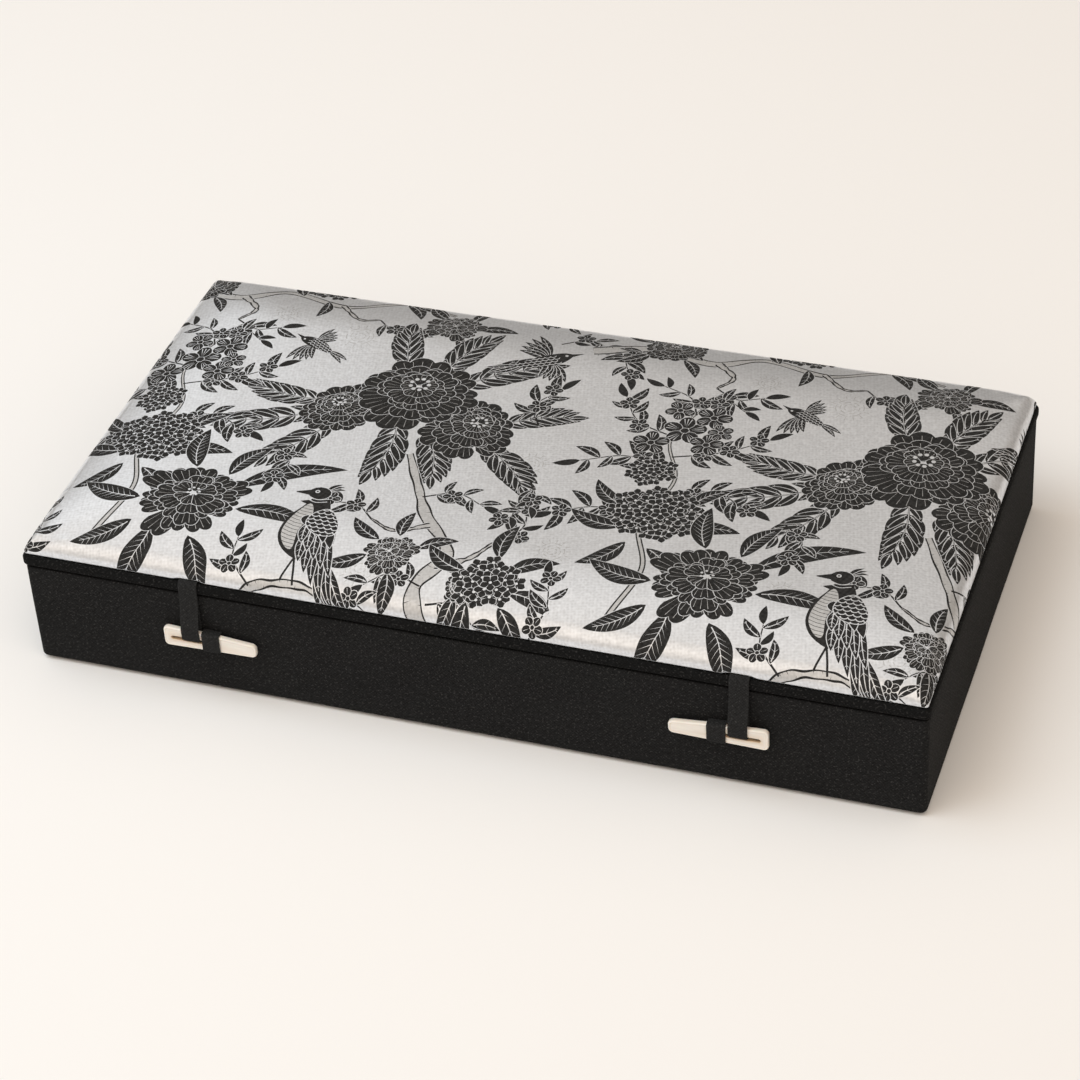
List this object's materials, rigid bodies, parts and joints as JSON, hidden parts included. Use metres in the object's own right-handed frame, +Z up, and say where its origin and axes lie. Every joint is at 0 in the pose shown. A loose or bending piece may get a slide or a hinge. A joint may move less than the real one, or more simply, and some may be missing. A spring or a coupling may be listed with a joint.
{
  "type": "jewelry casket",
  "caption": "Flat cloth-covered jewelry casket with a padded brocade lid on a cloth hinge, toggle and strap fastenings, and a lined tray with ring rolls.",
  "frame": {"origin": "middle of the underside of the tray, on the surface that the casket stands on", "axes": "+X along the casket to the right as seen from the front, -Y towards the front with the toggles, +Z up"},
  "size_m": [0.4014, 0.2224, 0.0719],
  "materials": {
    "black_cloth": "matte plain-weave book cloth",
    "strap_cloth": "matte folded cloth",
    "fibreboard": "raw fibreboard",
    "base_felt": "thin felt",
    "satin_lining": "soft satin",
    "pad_foam": "open-cell foam",
    "silver_brocade": "silver satin brocade with black figures",
    "bone": "polished bone"
  },
  "bodies": {
    "case": {"base_sheet": "base_felt", "floor_board": "fibreboard", "front_board": "fibreboard", "back_board": "fibreboard", "left_board": "fibreboard", "right_board": "fibreboard", "body_cover_cloth": "black_cloth", "front_lining": "satin_lining", "back_lining": "satin_lining", "left_lining": "satin_lining", "right_lining": "satin_lining", "floor_pad": "satin_lining", "left_cross_divider": "satin_lining", "right_cross_divider": "satin_lining", "centre_divider": "satin_lining", "right_divider": "satin_lining", "ring_roll_1": "satin_lining", "ring_roll_2": "satin_lining", "ring_roll_3": "satin_lining", "ring_roll_4": "satin_lining", "ring_roll_5": "satin_lining", "ring_roll_6": "satin_lining", "ring_roll_7": "satin_lining", "ring_roll_8": "satin_lining", "ring_roll_9": "satin_lining", "keeper_left": "strap_cloth", "keeper_right": "strap_cloth", "hinge_cloth": "black_cloth"},
    "lid": {"lid_board": "fibreboard", "lid_cover_cloth": "black_cloth", "lid_lining_pad": "satin_lining", "pad_card": "fibreboard", "foam_pad": "pad_foam", "brocade_cover": "silver_brocade", "strap_left": "strap_cloth", "strap_right": "strap_cloth"},
    "toggle_left": {"toggle_left": "bone"},
    "toggle_right": {"toggle_right": "bone"}
  },
  "joints": [
    {"name": "lid_hinge", "type": "hinge", "parent": "case", "child": "lid", "pos_m": [0, 0.1089, 0.05265], "axis": [-1, 0, 0], "range_deg": [0, 180], "deforming": ["hinge_cloth", "keeper_left", "keeper_right"]},
    {"name": "toggle_left_slide", "type": "slide", "parent": "lid", "child": "toggle_left", "axis": [-1, 0, 0], "range_m": [0, 0.026], "deforming": ["strap_left"]},
    {"name": "toggle_right_slide", "type": "slide", "parent": "lid", "child": "toggle_right", "axis": [1, 0, 0], "range_m": [0, 0.026], "deforming": ["strap_right"]}
  ]
}
